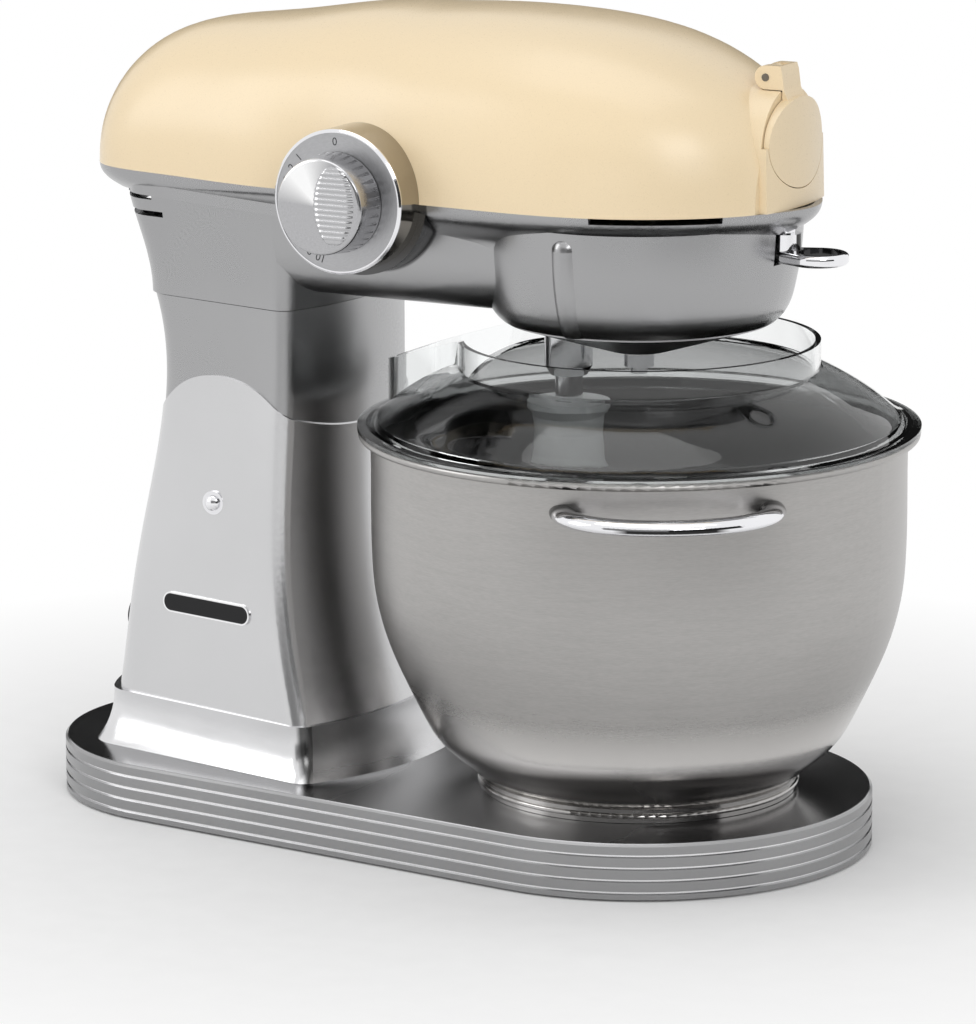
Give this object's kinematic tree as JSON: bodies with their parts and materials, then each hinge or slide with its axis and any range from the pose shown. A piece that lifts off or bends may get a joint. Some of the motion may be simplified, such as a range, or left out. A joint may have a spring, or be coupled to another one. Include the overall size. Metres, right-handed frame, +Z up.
{
  "type": "stand mixer",
  "caption": "Tilt-head stand mixer: planetary dough hook over a steel bowl on a twist dock, clear splash lid with filling chute, side speed dial and front accessory hub.",
  "frame": {"origin": "on the floor under the bowl's axis, on the sole of the middle rubber foot", "axes": "+X from the column towards the nose, +Y to the side away from the speed dial, +Z up along the bowl's axis"},
  "size_m": [0.3993, 0.2528, 0.3594],
  "materials": {
    "cream_enamel": "glossy cream enamel",
    "silver_enamel": "satin silver enamel",
    "base_enamel": "satin silver enamel",
    "plinth_steel": "polished",
    "bowl_steel": "brushed round the axis",
    "chrome": "bright plate",
    "dial_face": "satin with plain numerals",
    "clear_plastic": "clear",
    "milky_plastic": "milky",
    "tool_steel": "ground",
    "carrier_cast": "die cast",
    "gear_steel": "machined",
    "bracket_steel": "zinc plated",
    "spring_steel": "drawn wire",
    "black_plastic": "moulded",
    "black_rubber": "moulded",
    "green_board": "laminate",
    "copper_winding": "varnished wire"
  },
  "bodies": {
    "base": {"base_casting": "base_enamel", "bottom_plate": "black_plastic", "rubber_feet": "black_rubber", "base_screws": "bracket_steel", "bowl_dock": "base_enamel", "plinth_skirt": "plinth_steel", "column_shell": "silver_enamel", "column_neck": "silver_enamel", "badge_plate": "plinth_steel", "button_sleeve": "black_plastic", "release_spring": "spring_steel", "cord_gland": "black_rubber", "hinge_bracket": "bracket_steel", "hinge_pin": "tool_steel"},
    "head": {"head_casing": "silver_enamel", "head_cover": "cream_enamel", "hub_cover_pin": "chrome", "hub_socket": "gear_steel", "dial_collar": "chrome", "dial_plate": "dial_face", "speed_switch": "black_plastic", "control_board": "green_board", "ring_gear": "gear_steel", "bearing_plate": "gear_steel", "main_bearing": "gear_steel", "head_screws": "bracket_steel", "drive_belt": "black_rubber", "motor_bracket": "bracket_steel", "motor_can": "bracket_steel"},
    "carrier": {"planet_carrier": "carrier_cast", "hub_nut": "carrier_cast", "main_shaft": "tool_steel", "driven_pulley": "black_plastic"},
    "beater": {"beater_shaft": "tool_steel", "shaft_pin": "tool_steel", "planet_pinion": "gear_steel", "tool_hub": "milky_plastic", "dough_hook": "tool_steel"},
    "rotor": {"motor_shaft": "tool_steel", "motor_armature": "copper_winding", "motor_pulley": "black_plastic", "cooling_fan": "black_plastic"},
    "knob": {"speed_knob": "chrome", "knob_shaft": "tool_steel"},
    "hub_flap": {"hub_cover": "cream_enamel"},
    "lever": {"clamp_lever": "chrome"},
    "button": {"release_button": "chrome"},
    "bowl": {"bowl": "bowl_steel", "bowl_floor": "bowl_steel", "bowl_handle": "chrome"},
    "lid": {"splash_lid": "clear_plastic"}
  },
  "joints": [
    {"name": "head_tilt", "type": "hinge", "parent": "base", "child": "head", "pos_m": [-0.22, 0, 0.257], "axis": [0, -1, 0], "range_deg": [0, 45]},
    {"name": "carrier_spin", "type": "hinge", "parent": "head", "child": "carrier", "pos_m": [0, 0, 0.24], "axis": [0, 0, 1], "continuous": true},
    {"name": "beater_spin", "type": "hinge", "parent": "carrier", "child": "beater", "pos_m": [-0.034, 0, 0.23], "axis": [0, 0, 1], "continuous": true},
    {"name": "motor_spin", "type": "hinge", "parent": "head", "child": "rotor", "pos_m": [-0.172, 0, 0.3], "axis": [0, 0, 1], "continuous": true},
    {"name": "knob_turn", "type": "hinge", "parent": "head", "child": "knob", "pos_m": [-0.0968, -0.088, 0.284], "axis": [0, -1, 0], "range_deg": [0, 160]},
    {"name": "hub_cover_flip", "type": "hinge", "parent": "head", "child": "hub_flap", "pos_m": [0.063, 0, 0.337], "axis": [0, -1, 0], "range_deg": [0, 100]},
    {"name": "lever_turn", "type": "hinge", "parent": "head", "child": "lever", "pos_m": [0.069, 0, 0.27], "axis": [0, 0, 1], "range_deg": [-16, 16]},
    {"name": "release_press", "type": "slide", "parent": "base", "child": "button", "axis": [0, 1, 0], "range_m": [0, 0.003], "stiffness_N_per_m": 300, "deforming": ["release_spring"]},
    {"name": "bowl_twist", "type": "hinge", "parent": "base", "child": "bowl", "pos_m": [0, 0, 0.029], "axis": [0, 0, 1], "range_deg": [0, 25]},
    {"name": "lid_turn", "type": "hinge", "parent": "bowl", "child": "lid", "pos_m": [0, 0, 0.182], "axis": [0, 0, 1], "continuous": true}
  ],
  "couplings": [
    {"joint": "beater_spin", "follows": "carrier_spin", "ratio": -3.4286},
    {"joint": "motor_spin", "follows": "carrier_spin", "ratio": 4.4444}
  ]
}
